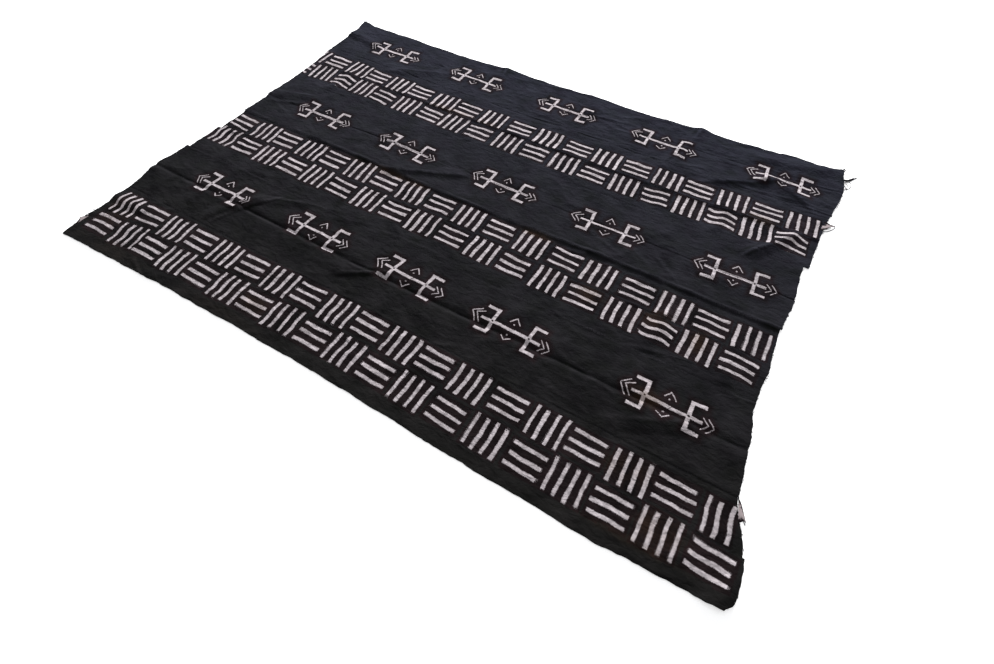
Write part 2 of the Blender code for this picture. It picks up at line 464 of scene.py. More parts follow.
# The material's patterns, in cells for each metre, with a cell's size beside it
PATTERN_RATES = {
    "shaky_hand": 30.0,  # 33 mm
    "slubs": 480.0,  # 2.1 mm, two threads wide
    "thin_paint": 110.0,  # 9 mm
    "clouds_of_dye": 16.0,  # 62 mm
    "shades_of_dye": 23.0,  # 43 mm
    "shades_of_paint": 22.0,  # 45 mm
    "crumples": 55.0,  # 18 mm
    "frayed_paint": 260.0,  # 3.8 mm
    "thread_shades": 350.0,  # 2.9 mm
    "thread_twist": 400.0,  # turns of 0.8 mm
}
DULL = 0.88

# Camera, as the photograph was taken
CAMERA_PLACE = (0.5214, -0.8057, 0.8732)
CAMERA_LOOK = (-0.2681, 0.4751, -0.8381)
CAMERA_RIGHT = (0.8692, 0.4945, 0.0022)
CAMERA_LENS = 18.04
SENSOR_WIDTH = 36.0

# Soft lights: place, point that they face, size and power
LIGHTS = (
    ("window_side", (-0.8, 4.4, 1.8), (0, 0.1, 0), (2.4, 1.0), 580),
    ("overhead", (0.2, -0.3, 3.0), (0, -0.2, 0), (3.0, 3.0), 30),
)
ROOM_LIGHT = 0.36
FLOOR_SIZE = 12.0
FLOOR_GLOW = 0.5

ROOT = "root"
FLOOR = "pale_floor"


def smooth(t):
    """Eases from 0 to 1, level at both ends."""
    t = np.clip(t, 0.0, 1.0)
    return t * t * (3.0 - 2.0 * t)


def along_columns(values, x):
    """Reads a five-column row at x, on one smooth curve."""
    values = np.asarray(values, dtype=float)
    place = (x + HALF_LENGTH) / COLUMN_STEP
    last = len(values) - 1
    cell = np.clip(np.floor(place).astype(int), 0, last - 1)
    t = place - cell
    start, end = values[cell], values[cell + 1]
    slope_start = (end - values[np.maximum(cell - 1, 0)]) / 2
    slope_end = (values[np.minimum(cell + 2, last)] - start) / 2
    return (
        start * (2 * t**3 - 3 * t**2 + 1)
        + slope_start * (t**3 - 2 * t**2 + t)
        + end * (3 * t**2 - 2 * t**3)
        + slope_end * (t**3 - t**2)
    )


def crest(offset, left_width, right_width):
    """A fold's cross section: 1 at its crest, and level with the floor at each width."""
    width = np.where(offset > 0, left_width, right_width)
    return 1.0 - smooth(np.abs(offset) / width)


def sharp_crest(offset, left_width, right_width):
    """A crease's cross section: it comes to a soft edge at its crest."""
    width = np.where(offset > 0, left_width, right_width)
    t = np.clip(np.sqrt((offset / width) ** 2 + 0.01) - 0.1, 0.0, 1.0)
    return (1.0 - t) ** 2 * (1.0 + 0.6 * t)


def long_fold_height(x, y, fold, section):
    row, shift, heights, far_width, near_width = fold
    offset = y - along_columns(SEAMS[row][1], x) - shift
    return along_columns(heights, x) * section(offset, far_width, near_width)


def short_fold_height(x, y, fold, section):
    start, end, height, left_width, right_width, fade = fold
    way_x, way_y = end[0] - start[0], end[1] - start[1]
    length = math.hypot(way_x, way_y)
    way_x, way_y = way_x / length, way_y / length
    from_x, from_y = x - start[0], y - start[1]
    run = from_x * way_x + from_y * way_y
    offset = from_y * way_x - from_x * way_y
    past_end = np.maximum(np.maximum(-run, run - length), 0.0)
    return height * section(offset, left_width, right_width) * (1.0 - smooth(past_end / fade))


def fold_height(x, y):
    """How far the cloth's underside is off the floor, as in the solids."""
    height = sum(long_fold_height(x, y, fold, crest) for fold in LONG_FOLDS)
    return height + sum(short_fold_height(x, y, fold, crest) for fold in SHORT_FOLDS)


def unevenness(x, y, size_x, size_y, seed, turn=0.0):
    """Smooth random values from -1 to 1, in bumps of about size_x by size_y, turned by turn degrees."""
    cos, sin = math.cos(math.radians(turn)), math.sin(math.radians(turn))
    place_x = (x * cos + y * sin + FIELD_REACH) / size_x
    place_y = (y * cos - x * sin + FIELD_REACH) / size_y
    cell_x, cell_y = np.floor(place_x).astype(int), np.floor(place_y).astype(int)
    shape = tuple(int(2 * FIELD_REACH / size) + 3 for size in (size_x, size_y))
    lattice = np.random.RandomState(seed).uniform(-1, 1, shape)
    ease_x, ease_y = smooth(place_x - cell_x), smooth(place_y - cell_y)
    low = lattice[cell_x, cell_y] * (1 - ease_x) + lattice[cell_x + 1, cell_y] * ease_x
    high = lattice[cell_x, cell_y + 1] * (1 - ease_x) + lattice[cell_x + 1, cell_y + 1] * ease_x
    return low * (1 - ease_y) + high * ease_y


def soft_ridges(x, y, size_x, size_y, seed, turn):
    """Winding ridges with soft crests, from 0 to about 1."""
    return 1 - np.sqrt(unevenness(x, y, size_x, size_y, seed, turn) ** 2 + 0.02)


def crumpling(x, y):
    """Rumples of handwoven cloth that was kept folded, from 0 up."""
    rumples = sum(height * soft_ridges(x, y, *shape) ** power for *shape, power, height in RUMPLES)
    streaks = soft_ridges(x, y, 95, 12, 7, 4) ** 3
    # Streaks lie along the far edge from its middle to the right, and weaker in the third row
    lengthwise = smooth((y - 330) / 60) * smooth((x + 250) / 200)
    lengthwise = lengthwise + 0.4 * (1 - smooth((y + 180) / 60)) * smooth((y + 420) / 30)
    calm = np.maximum(0.6 + 0.5 * unevenness(x, y, 150, 80, 13), 0.05)
    return calm * rumples + STREAK_HEIGHT * streaks * lengthwise


def creasing(x, y):
    """Creases, which are sharper than the folds and run out in places."""
    creases = sum(short_fold_height(x, y, crease, sharp_crest) for crease in CREASES)
    seams = sum(long_fold_height(x, y, crease, sharp_crest) for crease in SEAM_CREASES)
    broken = np.maximum(0.75 + 0.75 * unevenness(x, y, 60, 200, 14), 0.0)
    patchy = np.maximum(0.85 + 0.6 * unevenness(x, y, 32, 32, 15), 0.1)
    return creases * patchy + seams * broken


def underside(x, y):
    """Height of the cloth's underside with its folds, creases, rumples and slubs."""
    swell = 0.3 + 0.6 * (1 + unevenness(x, y, 130, 60, 3)) + 0.2 * unevenness(x, y, 11, 7, 10, 12)
    return np.maximum(fold_height(x, y) + creasing(x, y) + crumpling(x, y) + swell, 0.0)


def crest_highlight_and_shade(x, y):
    """How sharp a crease's crest is, from -1 in a trough to 1: painted highlight on crests and painted shade
    in troughs.
    """
    reach_x, reach_y = CREST_SHADE_REACH
    ways = ((reach_x, 0), (-reach_x, 0), (0, reach_y), (0, -reach_y))
    around = sum(creasing(x + step_x, y + step_y) for step_x, step_y in ways) / len(ways)
    return np.clip((creasing(x, y) - around) / FULL_CREST_LIGHT, -1.0, 1.0)


def line_y(row, x):
    """Y of a seam or of an outer edge at x."""
    y = along_columns(SEAMS[row][1], x)
    for edge, middle, half_width, out in EDGE_BUMPS:
        if edge == row:
            y = y + out * (1.0 - smooth(np.abs(x - middle) / half_width))
    return y


def strip_place(number, along, across):
    """X and Y of a strip's point. along runs 0 to 1 with X, and across from the far side to the near."""
    _, left, right = STRIP_ENDS[number]
    ease = smooth(across)
    left_x = left[0] + (left[1] - left[0]) * ease
    right_x = right[0] + (right[1] - right[0]) * ease
    last = len(STRIP_ENDS) - 1
    if number == last:
        right_x = right_x - CORNER_CUT * smooth((across - CORNER_START) / (1 - CORNER_START)) ** 2
    x = left_x + (right_x - left_x) * along
    far_y = line_y(number, x) - SEAM_GAP / 2
    near_y = line_y(number + 1, x) + SEAM_GAP / 2
    edge_wave = 1.3 * unevenness(x, x * 0, 26, 50, 8) + 0.6 * unevenness(x, x * 0, 9, 50, 9)
    if number == 0:
        far_y = far_y + edge_wave
    if number == last:
        near_y = near_y + edge_wave
    y = far_y + (near_y - far_y) * across
    cut = 1.0 * unevenness(x * 0, y, 50, 14, 11) + 0.7 * unevenness(x * 0, y, 50, 4, 12)
    to_ends = smooth(along / RAGGED_SHARE) + smooth((1 - along) / RAGGED_SHARE)
    return x + cut * (2 - to_ends), y


def linear(code):
    """An sRGB hex colour as linear RGBA."""
    parts = [int(code[i : i + 2], 16) / 255 for i in (1, 3, 5)]
    return tuple(c / 12.92 if c <= 0.04045 else ((c + 0.055) / 1.055) ** 2.4 for c in parts) + (1.0,)


def add_node(tree, kind, inputs=(), **settings):
    """Adds a node with its settings. Its inputs come in their order or by name or number.

    Each is a value, a socket, or a node whose first output is meant.
    """
    node = tree.nodes.new("ShaderNode" + kind)
    for name, value in settings.items():
        setattr(node, name, value)
    for key, value in inputs.items() if isinstance(inputs, dict) else enumerate(inputs):
        if isinstance(value, bpy.types.Node):
            value = value.outputs[0]
        if isinstance(value, bpy.types.NodeSocket):
            tree.links.new(value, node.inputs[key])
        else:
            node.inputs[key].default_value = value
    return node


def new_material(name, base, roughness, sheen=0.0):
    material = bpy.data.materials.new(name)
    material.use_nodes = True
    shader = material.node_tree.nodes["Principled BSDF"]
    shader.inputs["Base Color"].default_value = linear(base)
    shader.inputs["Roughness"].default_value = roughness
    shader.inputs["Specular IOR Level"].default_value = 0.0
    shader.inputs["Sheen Weight"].default_value = sheen
    shader.inputs["Sheen Roughness"].default_value = 0.5
    shader.inputs["Sheen Tint"].default_value = linear("#dfe4f4")
    return material, material.node_tree, shader


def figure_distance(tree, place, split):
    """Distance in millimetres from a figure's paint, below 0 inside it."""
    add = functools.partial(add_node, tree)
    mirrored = add("VectorMath", (place,), operation="ABSOLUTE")
    parts = add("SeparateXYZ", (place,))
    sides = add("SeparateXYZ", (mirrored,))
    folded = add("CombineXYZ", (sides.outputs[0], parts.outputs[1]))
    nearest = None
    for centre, half in FIGURE_BLOCKS:
        away = add("VectorMath", (folded, (*centre, 0)), operation="SUBTRACT")
        away = add("VectorMath", (away,), operation="ABSOLUTE")
        away = add("VectorMath", (away, (*half, 0)), operation="SUBTRACT")
        axes = add("SeparateXYZ", (away,))
        reach = add("Math", (axes.outputs[0], axes.outputs[1]), operation="MAXIMUM")
        if nearest is None:
            nearest = reach
        else:
            nearest = add("Math", (nearest, reach), operation="MINIMUM")
    for start, end, half in FIGURE_STROKES:
        way = Vector((end[0] - start[0], end[1] - start[1], 0))
        away = add("VectorMath", (place, (*start, 0)), operation="SUBTRACT")
        step = tuple(way / way.length_squared)
        run = add("VectorMath", (away, step), operation="DOT_PRODUCT")
        run = add("Clamp", (run.outputs["Value"],))
        along = add("VectorMath", {0: tuple(way), "Scale": run}, operation="SCALE")
        gap = add("VectorMath", (away, along), operation="DISTANCE")
        reach = add("Math", (gap.outputs["Value"], half), operation="SUBTRACT")
        nearest = add("Math", (nearest, reach), operation="MINIMUM")
    knot = add("VectorMath", (folded, (*KNOT_PLACE, 0)), operation="DISTANCE")
    knot = add("Math", (KNOT_RADIUS, knot.outputs["Value"]), operation="SUBTRACT")
    nearest = add("Math", (nearest, knot), operation="MAXIMUM")
    cut = add("VectorMath", (place, SPLIT_WAY), operation="DOT_PRODUCT")
    cut = add("Math", (cut.outputs["Value"], SPLIT_PLACE), operation="SUBTRACT")
    cut = add("Math", (cut,), operation="ABSOLUTE")
    cut = add("Math", (SPLIT_HALF_WIDTH, cut), operation="SUBTRACT")
    cut = add("Mix", {0: split, 2: -FAR_FROM_PAINT, 3: cut})
    return add("Math", (nearest, cut), operation="MAXIMUM")


def bar_distance(tree, place, hand):
    """Distance in millimetres from a block's bars. Bars stand at each whole pitch, drawn by hand."""
    add = functools.partial(add_node, tree)
    parts = add("SeparateXYZ", (place,))
    across, along = parts.outputs[0], parts.outputs[1]
    number = add("Math", (across, BAR_PITCH), operation="DIVIDE")
    number = add("Math", (number,), operation="ROUND")
    seed = add("CombineXYZ", (number, hand))
    chance = add("TexWhiteNoise", {"Vector": seed}, noise_dimensions="3D")
    chance = add("VectorMath", (chance.outputs["Color"], (0.5, 0.5, 0.5)), operation="SUBTRACT")
    chance = add("SeparateXYZ", (chance,))
    middle = add("Math", (number, BAR_PITCH), operation="MULTIPLY")
    middle = add("Math", (chance.outputs[0], BAR_STRAY["place"], middle), operation="MULTIPLY_ADD")
    lean = add("Math", (chance.outputs[1], BAR_STRAY["lean"]), operation="MULTIPLY")
    middle = add("Math", (lean, along, middle), operation="MULTIPLY_ADD")
    side = add("Math", (across, middle), operation="SUBTRACT")
    side = add("Math", (side,), operation="ABSOLUTE")
    width = (chance.outputs[2], BAR_STRAY["width"], BAR_HALF_WIDTH)
    width = add("Math", width, operation="MULTIPLY_ADD")
    side = add("Math", (side, width), operation="SUBTRACT")
    end = add("Math", (chance.outputs[2], BAR_STRAY["shift"], along), operation="MULTIPLY_ADD")
    end = add("Math", (end,), operation="ABSOLUTE")
    reach = (chance.outputs[0], BAR_STRAY["length"], BAR_HALF_LENGTH)
    reach = add("Math", reach, operation="MULTIPLY_ADD")
    end = add("Math", (end, reach), operation="SUBTRACT")
    return add("Math", (side, end, 1.0), operation="SMOOTH_MAX")


def weave_height(tree):
    """Height of a plain weave, read from the flat weave map in metres."""
    add = functools.partial(add_node, tree)
    flat = add("UVMap", uv_map="weave")
    # At scale 1, the wave texture turns through 20 radians in a metre
    rate = math.tau / (20 * WEAVE_PITCH * MM)
    sides = []
    for direction, closeness in (("X", 1.0), ("Y", WEFT_CLOSENESS)):
        threads = add("TexWave", {
            "Vector": flat, "Scale": rate * closeness, "Distortion": 1.2, "Detail": 2.0, "Detail Scale": 0.3,
        }, bands_direction=direction)
        sides.append(threads.outputs[1])
    return add("Math", sides, operation="MAXIMUM")


def mud_dyed_cotton():
    """Handspun cotton dyed nearly black with fermented mud, painted with marks in a pinkish white.

    The eye gets a dull, uneven charcoal with a blue cast, warmer and browner around the marks,
    and chalky strokes whose edges break up on the coarse weave.
    """
    material, tree, shader = new_material("mud_dyed_handspun_cotton", "#151417", 0.85, 0.015)
    add = functools.partial(add_node, tree)
    metres = add("TexCoord").outputs["Object"]
    mark = add("Attribute", attribute_name="paint_place")
    hand = add("Attribute", attribute_name="paint_hand").outputs["Fac"]
    stain = add("Attribute", attribute_name="mud_stain").outputs["Fac"]
    kind = add("SeparateXYZ", (mark.outputs["Vector"],)).outputs[2]
    weave = weave_height(tree)

    waver = add("TexNoise", {"Vector": metres, "Scale": PATTERN_RATES["shaky_hand"], "Detail": 2.0})
    waver = add("VectorMath", (waver.outputs["Color"], (0.5, 0.5, 0.5)), operation="SUBTRACT")
    place = add("VectorMath", (mark.outputs["Vector"], (1.0, 1.0, 0.0)), operation="MULTIPLY")
    place = add("VectorMath", (waver, HAND_SHAKE, place), operation="MULTIPLY_ADD")
    # The kinds are told apart halfway between their numbers
    split = add("Math", (kind, 2.5), operation="GREATER_THAN")
    is_figure = add("Math", (kind, 1.5), operation="GREATER_THAN")
    is_bare = add("Math", (kind, 0.5), operation="LESS_THAN")
    bars, figure = bar_distance(tree, place, hand), figure_distance(tree, place, split)
    distance = add("Mix", {0: is_figure, 2: bars, 3: figure})
    distance = add("Mix", {0: is_bare, 2: distance, 3: FAR_FROM_PAINT})

    grain = add("TexNoise", {"Vector": metres, "Scale": PATTERN_RATES["slubs"], "Detail": 2.0})
    rough_edge = add("Math", (grain.outputs[0], 3.0, -1.5), operation="MULTIPLY_ADD")
    ragged = add("Math", (distance, rough_edge), operation="ADD")
    paint = add("MapRange", (ragged, 0.8, -0.8, 0.0, 1.0), interpolation_type="SMOOTHSTEP")
    worn = add("TexNoise", {
        "Vector": metres, "Scale": PATTERN_RATES["thin_paint"], "Detail": 4.0, "Roughness": 0.65,
    })
    thin = add("MapRange", (worn.outputs[0], 0.34, 0.56, 0.6, 1.0))
    paint = add("Math", (paint, thin), operation="MULTIPLY")
    soaked = add("MapRange", (weave, 0.2, 0.9, 0.8, 1.0))
    paint = add("Math", (paint, soaked), operation="MULTIPLY")

    cloudy = add("TexNoise", {
        "Vector": metres, "Scale": PATTERN_RATES["clouds_of_dye"],
        "Detail": 5.0, "Roughness": 0.62, "Distortion": 0.4,
    })
    cloudy = add("MapRange", (cloudy.outputs[0], 0.34, 0.66))
    tint = add("TexNoise", {"Vector": metres, "Scale": PATTERN_RATES["shades_of_dye"], "Detail": 2.0})
    tint = add("ValToRGB", (tint.outputs[0],))
    tint.color_ramp.elements[0].position, tint.color_ramp.elements[0].color = 0.36, linear("#0f1210")
    tint.color_ramp.elements[1].position, tint.color_ramp.elements[1].color = 0.62, linear("#131017")
    middle_tint = tint.color_ramp.elements.new(0.5)
    middle_tint.color = linear("#101115")
    # Painted light: the ground's lightness rises towards the far end, standing in for the light that grazes
    # the cloth there
    far_off = add("SeparateXYZ", (metres,)).outputs[1]
    far_painted_light = add("MapRange", (far_off, -0.45, 0.5), interpolation_type="SMOOTHSTEP")
    least = add("Math", (far_painted_light, 0.28, 0.1), operation="MULTIPLY_ADD")
    most = add("Math", (far_painted_light, 0.35, 0.48), operation="MULTIPLY_ADD")
    lightness = add("MapRange", {0: cloudy, 3: least, 4: most})
    # Painted highlight on crease crests and painted shade in their troughs, lightening and darkening the
    # ground
    crest_light = add("Attribute", attribute_name="crest_highlight_and_shade").outputs["Fac"]
    lightness = add("Math", (crest_light, 0.6, lightness), operation="MULTIPLY_ADD")
    # Painted light: the dye colours turn bluer towards the far end, standing in for bluish light grazing the
    # cloth there
    far_painted_blue_light = add("MapRange", (far_off, -0.66, 0.58))
    dark_dye = add("Mix", {0: far_painted_blue_light, 6: linear("#121211"), 7: tint}, data_type="RGBA")
    # The lighter tone that random clouds of dye, the painted crest highlights and the far end's painted light
    # all mix towards
    lighter_dye_and_light = add("Mix", {0: far_painted_blue_light, 6: linear("#2a2827"), 7: linear("#292a33")}, data_type="RGBA")
    ground = add("Mix", {0: lightness, 6: dark_dye.outputs[2], 7: lighter_dye_and_light.outputs[2]}, data_type="RGBA")
    near_paint = (distance, 15.0, 1.0, 0.0, 0.85)
    near_paint = add("MapRange", near_paint, interpolation_type="SMOOTHSTEP")
    maroon = add("Mix", {0: cloudy, 6: linear("#0e0a0b"), 7: linear("#22181a")}, data_type="RGBA")
    ground = add("Mix", {0: near_paint, 6: ground.outputs[2], 7: maroon.outputs[2]}, data_type="RGBA")
    rusty = add("Math", (stain, cloudy), operation="MULTIPLY")
    ground = add("Mix", {0: rusty, 6: ground.outputs[2], 7: linear("#2a1d0e")}, data_type="RGBA")

    tone = add("TexNoise", {"Vector": metres, "Scale": PATTERN_RATES["shades_of_paint"], "Detail": 3.0})
    chalk = add("Mix", {0: tone.outputs[0], 6: linear("#9c9495"), 7: linear("#c8c0c5")}, data_type="RGBA")
    tanned = add("Math", (rusty, 0.6), operation="MULTIPLY")
    chalk = add("Mix", {0: tanned, 6: chalk.outputs[2], 7: linear("#94795a")}, data_type="RGBA")
    colour = add("Mix", {0: paint, 6: ground.outputs[2], 7: chalk.outputs[2]}, data_type="RGBA")
    tree.links.new(colour.outputs[2], shader.inputs["Base Color"])

    slub = add("Math", (grain.outputs[0], 0.8, weave), operation="MULTIPLY_ADD")
    bump = add("Bump", {"Height": slub, "Strength": 0.35, "Distance": 0.0005})
    stretched = add("VectorMath", (metres, (1.0, 1.7, 1.0)), operation="MULTIPLY")
    crumples = add("TexNoise", {
        "Vector": stretched, "Scale": PATTERN_RATES["crumples"],
        "Detail": 3.0, "Roughness": 0.55, "Distortion": 0.5,
    })
    bump = add("Bump", {"Height": crumples.outputs[0], "Strength": 0.8, "Distance": 0.004, "Normal": bump})
    tree.links.new(bump.outputs[0], shader.inputs["Normal"])
    return material


def painted_marks():
    """Each block and figure: centre, turn, arch, wave, limits along X, reach, kind and its hand's number."""
    chance = np.random.RandomState(61)
    marks = []
    for row_number, (row, first, level_shift, heights, places) in enumerate(BAR_ROWS):
        second = "level" if first == "upright" else "upright"
        for number, x in enumerate(places):
            kind = second if number % 2 else first
            steps = (0.0, -SLOPE_STEP, SLOPE_STEP)
            y, before, after = (float(along_columns(heights, np.array(x + step))) for step in steps)
            spread = np.array(HAND_SPREAD[kind]) * (1 - LOOSER_LEFT * x / HALF_LENGTH)
            by_hand = chance.normal(0, 1, 3) * spread
            turn, arch, wave = ODD_BLOCKS[row].get(number, by_hand)
            y += level_shift if kind == "level" else 0
            turn = math.radians(turn) + math.atan2(after - before, 2 * SLOPE_STEP)
            reach = BLOCK_REACH[kind]
            limits = CUT_BLOCKS.get((row, number), (-reach[0], reach[0]))
            marks.append((x, y, turn, arch, wave, limits, reach[1], kind, row_number * 20 + number))
    for number, (x, y, turn, split) in enumerate(FIGURES):
        limits = (-FIGURE_REACH[0], FIGURE_REACH[0])
        kind = "split_figure" if split else "figure"
        marks.append((x, y, math.radians(turn), 0, 0, limits, FIGURE_REACH[1], kind, 200 + number))
    return marks


def paint_values(x, y, centre_x, centre_y, upward):
    """For each face corner, its place in the mark that its face belongs to, and that mark's hand."""
    places = np.zeros(x.shape + (3,))
    hands = np.zeros(x.shape)
    for mark_x, mark_y, turn, arch, wave, limits, reach, kind, hand in painted_marks():
        cos, sin = math.cos(turn), math.sin(turn)
        face_u = (centre_x - mark_x) * cos + (centre_y - mark_y) * sin
        face_v = (centre_y - mark_y) * cos - (centre_x - mark_x) * sin
        own = upward & (face_u > limits[0]) & (face_u < limits[1]) & (np.abs(face_v) < reach)
        u = (x[own] - mark_x) * cos + (y[own] - mark_y) * sin
        v = (y[own] - mark_y) * cos - (x[own] - mark_x) * sin
        along = v if kind == "upright" else u
        bend = arch * (0.5 - np.abs(along) / LEVEL_HALF_LENGTH) + wave * np.sin(along / WAVE_RUN)
        if kind == "upright":
            place = (u + bend + BAR_PITCH / 2, v)
        elif kind == "level":
            place = (v - bend, u * BAR_HALF_LENGTH / LEVEL_HALF_LENGTH)
        else:
            place = (u, v)
        places[own] = np.stack((*place, np.full_like(u, KIND_NUMBERS[kind])), axis=-1)
        hands[own] = hand
    return places, hands


def stain_strength(x, y):
    strength = np.zeros(x.shape)
    for centre_x, centre_y, half_length, half_width, amount in STAINS:
        away = np.hypot((x - centre_x) / half_length, (y - centre_y) / half_width)
        strength = np.maximum(strength, amount * (1 - smooth((away - 0.2) / 0.9)))
    return strength


def bake_map(along, even, layer, face_along, face_layer, face_even_spread):
    """A map of the strip for baking, cut in quarters along its length that lie one above another.

    The top takes rows of the upper three quarters of the square and the underside thin rows below.
    The narrow sides take slivers beside the rows that they join.
    """
    quarter = np.clip(np.floor(face_along * BAKE_ROWS), 0, BAKE_ROWS - 1)
    run = along * BAKE_ROWS - quarter
    below = face_layer < 0.01
    side = (face_layer > 0.01) & (face_layer < 0.99)
    u = MAP_SIDE + (1 - 2 * MAP_SIDE) * np.where(below, 1 - run, run)
    rows = [start + pitch * quarter + height * (1 - even) for start, pitch, height in (LOW_ROWS, TOP_ROWS)]
    v = np.where(below, *rows)
    long_side = side & (face_even_spread < 0.001)
    end_side = side & ~long_side
    v = np.where(long_side, v + np.where(even < 0.5, SLIVERS[1], -SLIVERS[1]) * (1 - layer), v)
    u = np.where(end_side, u + np.where(along < 0.5, -SLIVERS[0], SLIVERS[0]) * (1 - layer), u)
    return u, v


def read_all(items, field, kind=int, width=1):
    """Reads a field of every one of a mesh's items."""
    values = np.zeros(len(items) * width, dtype=kind)
    items.foreach_get(field, values)
    return values


def vertex_places(mesh):
    return read_all(mesh.vertices, "co", float, 3).reshape(-1, 3)


def corner_table(mesh):
    """The vertex and the face of each face corner, and how many corners each face has."""
    vertex = read_all(mesh.loops, "vertex_index")
    starts = read_all(mesh.polygons, "loop_start")
    counts = np.diff(np.append(starts, len(vertex)))
    return vertex, np.repeat(np.arange(len(starts)), counts), counts


def sheet_grid(name, cells_along, cells_across):
    """A closed flat sheet, one unit each way, whose lower layer is at height 0 and upper layer at 1."""
    grid = bmesh.new()
    bmesh.ops.create_grid(grid, x_segments=cells_along, y_segments=cells_across, size=0.5)
    raised = bmesh.ops.extrude_face_region(grid, geom=grid.faces[:])
    top = [item for item in raised["geom"] if isinstance(item, bmesh.types.BMVert)]
    bmesh.ops.translate(grid, verts=top, vec=(0, 0, 1))
    bmesh.ops.recalc_face_normals(grid, faces=grid.faces[:])
    mesh = bpy.data.meshes.new(name)
    grid.to_mesh(mesh)
    grid.free()
    flat = vertex_places(mesh)
    return mesh, flat[:, 0] + 0.5, 0.5 - flat[:, 1], flat[:, 2]


def keep_values(mesh, name, domain, values):
    """Keeps numbers, or places if they come in threes, on a mesh's points or corners for its material."""
    in_threes = values.ndim == 2
    attribute = mesh.attributes.new(name, "FLOAT_VECTOR" if in_threes else "FLOAT", domain)
    attribute.data.foreach_set("vector" if in_threes else "value", values.ravel())


def keep_map(mesh, name, places):
    mesh.uv_layers.new(name=name).data.foreach_set("uv", np.stack(places, axis=-1).ravel())


def add_piece(mesh, material):
    mesh.shade_smooth()
    mesh.set_sharp_from_angle(angle=math.radians(SHARP_ANGLE))
    mesh.materials.append(material)
    piece = bpy.data.objects.new(mesh.name, mesh)
    bpy.context.scene.collection.objects.link(piece)
    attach(piece, ROOT)
    return piece


def woven_strip(number, material):
    """One strip as a closed sheet: a grid given its thickness, then bent over the folds that it lies in."""
    node = STRIP_ENDS[number][0]
    mesh, along, even, layer = sheet_grid("woven_" + node, CELLS_ALONG, CELLS_ACROSS)
    across = even - EDGE_CROWDING * np.sin(math.tau * even) / math.tau
    x, y = strip_place(number, along, across)
    width = SEAMS[number][1][2] - SEAMS[number + 1][1][2]
    to_edge = np.minimum(across, 1 - across) * width
    rounding = EDGE_DROP * (1 - smooth(to_edge / EDGE_WIDTH)) * (0.7 + 0.3 * unevenness(x, y, 60, 60, 21))
    points = np.stack((x, y, underside(x, y) + layer * (CLOTH_THICK - rounding)), axis=-1)
    mesh.vertices.foreach_set("co", (points * MM).ravel())

    vertex, face, counts = corner_table(mesh)

    def face_mean(values):
        return (np.bincount(face, weights=values) / counts)[face]

    corner_x, corner_y = points[vertex, 0], points[vertex, 1]
    face_along, face_layer = face_mean(along[vertex]), face_mean(layer[vertex])
    spread = face_mean(np.abs(even[vertex] - face_mean(even[vertex])))
    centre_x, centre_y = face_mean(corner_x), face_mean(corner_y)
    places, hands = paint_values(corner_x, corner_y, centre_x, centre_y, face_layer > 0.99)
    keep_values(mesh, "paint_place", "CORNER", places)
    keep_values(mesh, "paint_hand", "CORNER", hands)
    keep_values(mesh, "mud_stain", "POINT", stain_strength(x, y))
    # Painted highlight on crease crests and painted shade in troughs, kept on the top for the material
    keep_values(mesh, "crest_highlight_and_shade", "POINT", crest_highlight_and_shade(x, y) * (layer > 0.5))
    keep_map(mesh, "weave", (corner_x * MM, corner_y * MM))
    corners = along[vertex], even[vertex], layer[vertex]
    keep_map(mesh, "OFBake", bake_map(*corners, face_along, face_layer, spread))

    strip = add_piece(mesh, material)
    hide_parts(node)
    return strip, (width * MM, 2 * HALF_LENGTH * MM)


def tiled(name, shape, places, turns):
    """One mesh of many copies of a shape's mesh, each turned about Z and put at its place."""
    points = vertex_places(shape)
    cos, sin = np.cos(turns)[:, None], np.sin(turns)[:, None]
    x = points[:, 0] * cos - points[:, 1] * sin + places[:, 0][:, None]
    y = points[:, 0] * sin + points[:, 1] * cos + places[:, 1][:, None]
    z = points[:, 2] + places[:, 2][:, None]
    copies = np.stack((x, y, z), axis=-1).reshape(-1, 3)
    faces = []
    corners = [tuple(face.vertices) for face in shape.polygons]
    for number in range(len(places)):
        start = number * len(points)
        faces.extend(tuple(start + corner for corner in face) for face in corners)
    mesh = bpy.data.meshes.new(name)
    mesh.from_pydata(copies.tolist(), [], faces)
    return mesh


def curve_mesh(name, routes):
    """Threads as one mesh. A route is a list of points in metres and a radius."""
    curve = bpy.data.curves.new(name, "CURVE")
    curve.dimensions = "3D"
    curve.bevel_depth = 1.0
    curve.bevel_resolution = 0
    curve.use_fill_caps = True
    for points, radius in routes:
        spline = curve.splines.new("POLY")
        spline.points.add(len(points) - 1)
        for place, point in zip(spline.points, points):
            place.co = (*point, 1)
            place.radius = radius
    guide = bpy.data.objects.new(name, curve)
    bpy.context.scene.collection.objects.link(guide)
    mesh = bpy.data.meshes.new_from_object(guide.evaluated_get(bpy.context.evaluated_depsgraph_get()))
    mesh.name = name
    bpy.data.objects.remove(guide, do_unlink=True)
    return mesh


